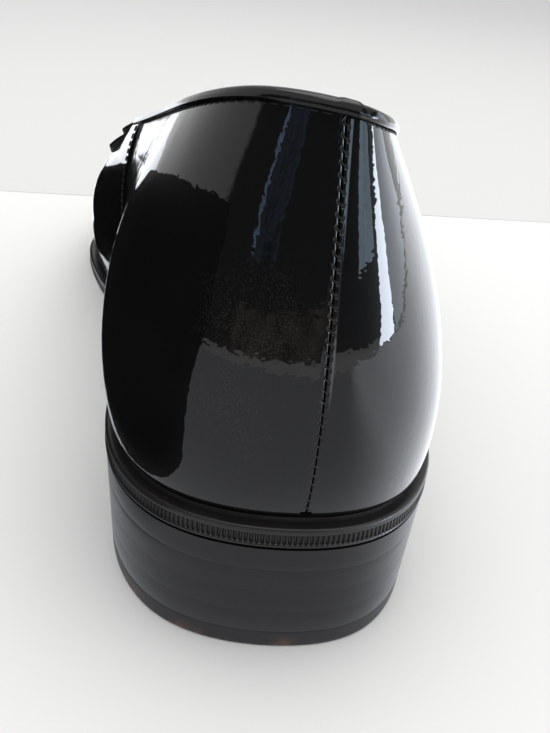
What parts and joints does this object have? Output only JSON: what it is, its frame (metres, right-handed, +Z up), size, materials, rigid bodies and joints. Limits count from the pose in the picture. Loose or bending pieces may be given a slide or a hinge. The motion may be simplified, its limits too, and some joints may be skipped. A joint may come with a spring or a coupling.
{
  "type": "opera pump",
  "caption": "Low patent leather court shoe for the right foot, with a bound topline, a flat ribbon bow at the throat and a stacked heel.",
  "frame": {"origin": "on the floor under the middle of the shoe's box", "axes": "+Y to the toe, +X to the outside of the right foot, +Z up"},
  "size_m": [0.0994, 0.2912, 0.1003],
  "materials": {
    "patent_leather": "high gloss black patent",
    "binding_leather": "satin black",
    "insole_sock": "matte black lining leather",
    "sole_leather": "waxed black edge",
    "heel_leather": "waxed black edge, faint lift lines",
    "heel_rubber": "matte black",
    "grosgrain": "matte black, ribbed"
  },
  "bodies": {
    "root": {"upper": "patent_leather", "topline_binding": "binding_leather", "insole": "insole_sock", "outsole": "sole_leather", "heel_lift_1": "heel_leather", "heel_lift_2": "heel_leather", "heel_lift_3": "heel_leather", "heel_lift_4": "heel_leather", "top_piece": "heel_rubber", "bow_under_loops": "grosgrain", "bow_over_loops": "grosgrain", "bow_knot": "grosgrain"}
  },
  "joints": []
}
